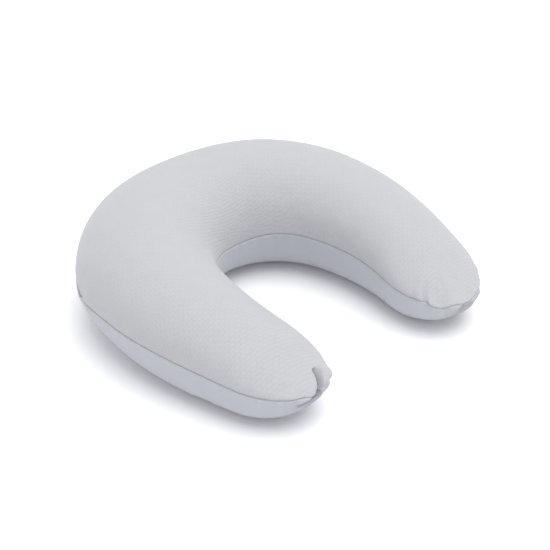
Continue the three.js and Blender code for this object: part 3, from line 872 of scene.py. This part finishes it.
def textured_knit():
    """The top's pale knit: short broken ribs in offset rows, with fine stitches over them."""
    made = Finish("textured knit", 0.9, sheen=0.25)
    place = made.wavy(made.cloth_place(), 4.5 * MM, 45.0)
    inputs = {
        "Vector": place, "Scale": 1.0, "Mortar Size": 1.15 * MM, "Mortar Smooth": 1.0,
        "Brick Width": 11 * MM, "Row Height": 5.2 * MM,
    }
    brick = made.node("TexBrick", inputs, offset=0.5, squash=1.0).outputs["Fac"]
    rib = made.sum("SUBTRACT", 1.0, brick)
    fine_x = made.ribs(made.part(place, 0), 1.25 * MM)
    fine_y = made.ribs(made.part(place, 1), 1.6 * MM)
    fine = made.sum("MULTIPLY", fine_x, fine_y)
    patches = made.noise(made.cloth_place(), 34.0)
    fuzz = made.noise(made.cloth_place(), 900.0, 2.0)
    tone = made.sum("MULTIPLY_ADD", rib, 0.22, made.sum("MULTIPLY", patches, 0.55))
    tone = made.sum("MULTIPLY_ADD", fine, 0.2, tone)
    # Shade is painted into this colour deep in the -X tip's pleat.
    colour = made.with_painted_shade(made.blend(tone, TOP_SHADE, TOP_LIGHT))
    height = made.sum("MULTIPLY_ADD", fine, 0.22, rib)
    height = made.sum("MULTIPLY_ADD", fuzz, 0.25, height)
    rough = made.sum("MULTIPLY_ADD", fuzz, 0.16, 0.8)
    return made.finish(colour, height, 0.225 * MM, rough)


def ribbed_jersey():
    """The underside's smoother, bluer cloth, with very fine ribs square to the seam."""
    made = Finish("ribbed jersey", 0.92, sheen=0.2)
    place = made.wavy(made.cloth_place(), 0.9 * MM, 60.0)
    rib = made.ribs(made.part(place, 0), 2.4 * MM)
    row = made.ribs(made.part(place, 1), 1.5 * MM)
    fine = made.sum("MULTIPLY_ADD", row, 0.35, rib)
    patches = made.noise(made.cloth_place(), 26.0)
    fuzz = made.noise(made.cloth_place(), 800.0, 2.0)
    tone = made.sum("MULTIPLY_ADD", fine, 0.34, made.sum("MULTIPLY", patches, 0.5))
    # Shade is painted into this colour deep in the -X tip's pleat.
    colour = made.with_painted_shade(made.blend(tone, UNDER_SHADE, UNDER_LIGHT))
    height = made.sum("MULTIPLY_ADD", fuzz, 0.3, fine)
    rough = made.sum("MULTIPLY_ADD", fuzz, 0.14, 0.82)
    return made.finish(colour, height, 0.2 * MM, rough)


def woven(name, dark, light, pitch, distance, roughness, sheen=0.1):
    """A plain weave of crossing threads."""
    made = Finish(name, roughness, sheen=sheen)
    place = made.wavy(made.object_place(), pitch * 0.5, 90.0)
    warp = made.ribs(made.sum("ADD", made.part(place, 0), made.part(place, 1)), pitch)
    weft_place = made.sum("SUBTRACT", made.part(place, 0), made.part(place, 1))
    weft_place = made.sum("MULTIPLY_ADD", made.part(place, 2), 1.6, weft_place)
    weft = made.ribs(weft_place, pitch)
    weave = made.sum("MULTIPLY", warp, weft)
    patches = made.noise(made.object_place(), 40.0)
    tone = made.sum("MULTIPLY_ADD", weave, 0.5, made.sum("MULTIPLY", patches, 0.5))
    colour = made.blend(tone, dark, light)
    rough = made.sum("MULTIPLY_ADD", patches, 0.15, roughness - 0.08)
    return made.finish(colour, weave, distance, rough)


def thread(name, dark, light):
    """Twisted sewing thread, with a slight sheen."""
    made = Finish(name, 0.55, sheen=0.3)
    place = made.object_place()
    slanted = made.sum("ADD", made.part(place, 0), made.part(place, 1))
    slanted = made.sum("ADD", slanted, made.part(place, 2))
    twist = made.ribs(slanted, 0.5 * MM)
    patches = made.noise(place, 120.0)
    tone = made.sum("MULTIPLY_ADD", twist, 0.5, made.sum("MULTIPLY", patches, 0.5))
    rough = made.sum("MULTIPLY_ADD", patches, 0.2, 0.45)
    return made.finish(made.blend(tone, dark, light), twist, 0.06 * MM, rough)


def loose_fibre():
    """A mass of fine white polyester fibres."""
    made = Finish("loose fibre", 0.95, sheen=0.4)
    place = made.wavy(made.object_place(), 20 * MM, 35.0)
    stretched = made.node(
        "VectorMath", {0: place, 1: (300.0, 1400.0, 900.0)}, operation="MULTIPLY"
    ).outputs[0]
    strands = made.noise(stretched, 1.0, 4.0)
    clumps = made.noise(place, 60.0)
    tone = made.sum("MULTIPLY_ADD", strands, 0.6, made.sum("MULTIPLY", clumps, 0.4))
    colour = made.blend(tone, linear(222, 222, 218), linear(250, 250, 247))
    rough = made.sum("MULTIPLY_ADD", strands, 0.1, 0.85)
    return made.finish(colour, tone, 1.2 * MM, rough)


def gloss_coil():
    """Smooth nylon, cloudy and slightly rubbed."""
    made = Finish("nylon coil", 0.3)
    cloud = made.noise(made.object_place(), 150.0)
    rubbed = made.noise(made.object_place(), 1500.0, 2.0)
    colour = made.blend(cloud, linear(196, 199, 206), linear(222, 224, 230))
    rough = made.sum("MULTIPLY_ADD", rubbed, 0.3, 0.2)
    return made.finish(colour, rubbed, 0.02 * MM, rough)


def nickel():
    """Nickel plate, with fine scratches and a duller cast in patches."""
    made = Finish("nickel plate", 0.28, metallic=1.0)
    place = made.object_place()
    stretched = made.node(
        "VectorMath", {0: place, 1: (900.0, 900.0, 6000.0)}, operation="MULTIPLY"
    ).outputs[0]
    scratches = made.noise(stretched, 1.0, 2.0)
    cast = made.noise(place, 420.0)
    colour = made.blend(cast, linear(176, 177, 181), linear(214, 215, 218))
    rough = made.sum("MULTIPLY_ADD", scratches, 0.25, 0.18)
    return made.finish(colour, scratches, 0.015 * MM, rough)


# ---------------------------------------------------------------- the cover
ROWS = row_places(4 * MM, 2.2 * MM)
COLUMNS = {TOP: column_shares(270 * MM, 6.5 * MM), UNDER: column_shares(250 * MM, 7.5 * MM)}
TOPSTITCH_COLUMN = 6
# Where shade is painted into the cover's colour, in the hollow of the -X tip's pleat.
SHADE_EDGES = (-1, 1.5, 8, 20)  # in degrees past the fold, as HOLLOW_EDGES
SHADE_FADE = 0.45  # how much lighter the shade is at the top of the hollow
SHADE_FADE_HEIGHTS = (61 * MM, 72 * MM)
SHADE_AXIS_CLEAR = 30 * MM


def painted_shade_mark(plain):
    """The third value of the cloth's place: how much shade is painted on it, deep in the pleat's
    hollow.
    """
    fold, _, upright = pleat_fold(plain, 0)
    low = 1 - SHADE_FADE * smoothstep(plain[..., 2], *SHADE_FADE_HEIGHTS)
    hollow = rise_and_fall(-fold, SHADE_EDGES) * upright * low
    at_tip = (plain[..., 0] < 0) & (round_tip(plain, -1)[1] > SHADE_AXIS_CLEAR)
    return PAINTED_SHADE_FULL * hollow * at_tip


def top_pattern(points, from_outer, from_inner):
    """Where each point of the top panel lies on the flat piece of cloth it was cut from."""
    x, y, heading = middle_line(np.abs(ROWS) * HALF_LENGTH)
    across = (from_inner - from_outer) / 2
    side = np.where(ROWS < 0, -1, 1)[:, None]
    flat_x = side * (x[:, None] + across * np.sin(heading)[:, None])
    return flat_x, y[:, None] + across * np.cos(heading)[:, None]


def under_pattern(points, from_outer, from_inner):
    """How far each point of the bottom panel is along it, and how far from its nearer seam."""
    steps = np.linalg.norm(np.diff(points, axis=0), axis=-1)
    along = np.concatenate([np.zeros((1, points.shape[1])), np.cumsum(steps, 0)])
    return along - along[len(along) // 2], np.minimum(from_outer, from_inner)


def cover_panel(name, side, pattern, material):
    """Makes one panel of the cover, and returns its grid of points."""
    moved, plain, from_outer, from_inner = layer(ROWS, COLUMNS[side], 0, side, ZIP_OPENING)
    points = sewn(moved, plain, from_outer, side)
    # Its third value is the shade painted in the pleat's hollow.
    places = np.stack([*pattern(points, from_outer, from_inner), painted_shade_mark(plain)], -1)
    mesh = merged_mesh(name, points, grid_faces(*points.shape[:2], side), places)
    made = add_object(name, mesh, "pillow", material, [f"{name}_panel"])
    thicken(made, CLOTH_THICKNESS)
    return points


def past_zip(line):
    """The closed seam line from the zip's +X end, round both arms, to its -X end."""
    outer_rows = np.flatnonzero(SEAM.zip_share > 0)
    return np.concatenate([line[outer_rows[-1] + 1 :], line[: outer_rows[0]]])


def cover():
    top = cover_panel("cover_top", TOP, top_pattern, textured_knit())
    under = cover_panel("cover_bottom", UNDER, under_pattern, ribbed_jersey())
    cover_thread = thread("cover thread", linear(196, 198, 204), linear(214, 216, 222))
    line = SEAM.points + pleat(SEAM.points, 0) + sag(SEAM.points)
    line = line - SEAM.outward * (SEAM_DEPTH - 0.5 * MM)
    stitch_object(
        "cover_seam_stitches",
        [past_zip(line)],
        cover_thread,
        ["cover_seam_thread"],
    )
    zip_rows = beside_zip(np.abs(ROWS), ZIP_OPENING_FADE) > 0
    for name, points in (("zip_topstitch_upper", top), ("zip_topstitch_lower", under)):
        stitch_object(name, [points[zip_rows, TOPSTITCH_COLUMN]], cover_thread)


# ---------------------------------------------------------------- the inner pillow
INNER_ROWS = row_places(8 * MM, 5 * MM, near=np.array([0, 2, 5]) * MM)
INNER_COLUMNS = column_shares(260 * MM, 10 * MM, near=np.array([0, 2, 5]) * MM)
CASE_THICKNESS = 0.5 * MM
LUMP_DEPTH = 0.9 * MM


def inner_panel(depth, side):
    return layer(INNER_ROWS, INNER_COLUMNS, depth, side)[0]


def inner_case():
    calico = woven(
        "case cloth", linear(228, 228, 222), linear(246, 246, 241), 0.9 * MM, 0.1 * MM, 0.9
    )
    for name, side, node in (
        ("inner_case_upper", TOP, "inner_case_top"),
        ("inner_case_lower", UNDER, "inner_case_bottom"),
    ):
        points = inner_panel(CASE_DEPTH, side)
        mesh = merged_mesh(name, points, grid_faces(*points.shape[:2], side))
        made = add_object(name, mesh, "pillow", calico, [node])
        thicken(made, CASE_THICKNESS)
    ends = np.array([0.0, 1.0])
    line = layer(row_places(2 * MM, 2 * MM), ends, CASE_SEAM_DEPTH, TOP)[0]
    stitch_object(
        "inner_case_stitches",
        [line[:, 0], line[:, 1]],
        thread("case thread", linear(226, 226, 222), linear(244, 244, 240)),
        ["inner_case_seam_thread"],
    )


def lumpy(points, side):
    """The grid pressed in a little in places, except at its seams."""
    row = np.arange(points.shape[0])[:, None]
    column = np.arange(points.shape[1])[None]
    lumps = np.sin(row * 0.83 + 2 * np.sin(column * 0.6)) * np.sin(column * 0.9 + 0.13 * row)
    inward = grid_normals(points, side) * (lumps * lumps * LUMP_DEPTH)[..., None]
    inward[:, (0, -1)] = 0
    return points - inward


def fibre_core():
    skins = [lumpy(inner_panel(FIBRE_DEPTH, side), side) for side in (TOP, UNDER)]
    mesh = merged_mesh("fibre_core", body_points(skins), body_faces(skins))
    made = add_object("fibre_core", mesh, "pillow", loose_fibre(), ["fibre_fill"])


# ---------------------------------------------------------------- the zip and the label
def zip_teeth():
    nylon = gloss_coil()
    for name, side in (("upper", TOP), ("lower", UNDER)):
        mesh = coil_mesh(f"zip_teeth_{name}", side)
        add_object(f"zip_teeth_{name}", mesh, "pillow", nylon, [f"zip_coil_{name}"])


def finish_cad_nodes():
    """Materials for the CAD model's own nodes, with worn edges on the metal ones."""
    tape = woven("zip tape", linear(200, 202, 208), linear(218, 220, 226), 0.7 * MM, 0.1 * MM, 0.8)
    satin = woven(
        "satin label", linear(234, 234, 229), linear(247, 247, 243), 0.35 * MM, 0.03 * MM, 0.4
    )
    plate = nickel()
    for material, names in (
        (satin, ["care_label"]),
        (tape, ["zip_tape_upper", "zip_tape_lower"]),
        (plate, ["zip_stop_left", "zip_stop_right", "zip_slider", "zip_pull_tab"]),
    ):
        for name in names:
            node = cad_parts[name]
            node.data.materials.clear()
            node.data.materials.append(material)
            if material is plate:
                rounded = node.modifiers.new("worn edges", "BEVEL")
                rounded.width = 0.12 * MM
                rounded.segments = 2
                rounded.limit_method = "ANGLE"


# ---------------------------------------------------------------- floor, light and camera
FLOOR_SIZE = 120.0
FLOOR_DROP = 0.3 * MM  # keeps the floor clear of the pillow's flat underside
FLOOR_GLOW = 0.03
SKY_STRENGTH = 0.8
SKY_LOW, SKY_HIGH = (0.90, 0.92, 0.95), (1, 1, 1)
OVERHEAD_STRENGTH = 1.98
OVERHEAD_WAY = (0.16, -0.1, 1)
OVERHEAD_SPREAD = math.radians(62)
CAMERA_TARGET = Vector((-0.0063, -0.0364, 0.0672))
CAMERA_AZIMUTH = math.radians(-43.96)
CAMERA_ELEVATION = math.radians(32.70)
CAMERA_DISTANCE = 2.115
CAMERA_LENS = 90.35


def floor():
    """A plain pale sheet, with the slightest grain."""
    half = FLOOR_SIZE / 2
    corners = [
        (x, y, -FLOOR_DROP) for x, y in ((-half, -half), (half, -half), (half, half), (-half, half))
    ]
    mesh = bpy.data.meshes.new("floor")
    mesh.from_pydata(corners, [], [(0, 1, 2, 3)])
    made = Finish("plain floor", 0.9)
    grain = made.noise(made.object_place(), 30.0)
    colour = made.blend(grain, (0.94, 0.945, 0.955), (0.95, 0.955, 0.965))
    made.shader.inputs["Emission Color"].default_value = (1, 1, 1, 1)
    made.shader.inputs["Emission Strength"].default_value = FLOOR_GLOW
    mesh.materials.append(made.finish(colour, grain, 0.02 * MM))
    sheet = bpy.data.objects.new("floor", mesh)
    bpy.context.scene.collection.objects.link(sheet)


def overhead_light():
    """Light from a wide patch of the sky, the same all over the floor."""
    lamp = bpy.data.lights.new("overhead", "SUN")
    lamp.angle = OVERHEAD_SPREAD
    lamp.energy = OVERHEAD_STRENGTH
    made = bpy.data.objects.new("overhead", lamp)
    made.rotation_euler = Vector(OVERHEAD_WAY).to_track_quat("Z", "Y").to_euler()
    bpy.context.scene.collection.objects.link(made)


def sky():
    """An even white surround, a little brighter overhead."""
    world = bpy.data.worlds.new("studio")
    world.use_nodes = True
    bpy.context.scene.world = world
    nodes, links = world.node_tree.nodes, world.node_tree.links
    height = nodes.new("ShaderNodeSeparateXYZ")
    links.new(nodes.new("ShaderNodeTexCoord").outputs["Generated"], height.inputs[0])
    ramp = nodes.new("ShaderNodeValToRGB")
    for element, colour in zip(ramp.color_ramp.elements, (SKY_LOW, SKY_HIGH)):
        element.color = (*colour, 1)
    links.new(height.outputs["Z"], ramp.inputs[0])
    background = nodes["Background"]
    links.new(ramp.outputs[0], background.inputs["Color"])
    background.inputs["Strength"].default_value = SKY_STRENGTH


def camera():
    lens = bpy.data.cameras.new("camera")
    lens.lens = CAMERA_LENS
    lens.sensor_width = 36
    lens.clip_end = 50
    made = bpy.data.objects.new("camera", lens)
    level = math.cos(CAMERA_ELEVATION)
    back = Vector((
        math.sin(CAMERA_AZIMUTH) * level,
        -math.cos(CAMERA_AZIMUTH) * level,
        math.sin(CAMERA_ELEVATION),
    ))
    made.location = CAMERA_TARGET + back * CAMERA_DISTANCE
    made.rotation_euler = (-back).to_track_quat("-Z", "Y").to_euler()
    bpy.context.scene.collection.objects.link(made)
    bpy.context.scene.camera = made


cover()
inner_case()
fibre_core()
zip_teeth()
finish_cad_nodes()
floor()
sky()
overhead_light()
camera()
bpy.context.scene.view_settings.view_transform = "Standard"
bpy.context.scene.view_settings.look = "None"
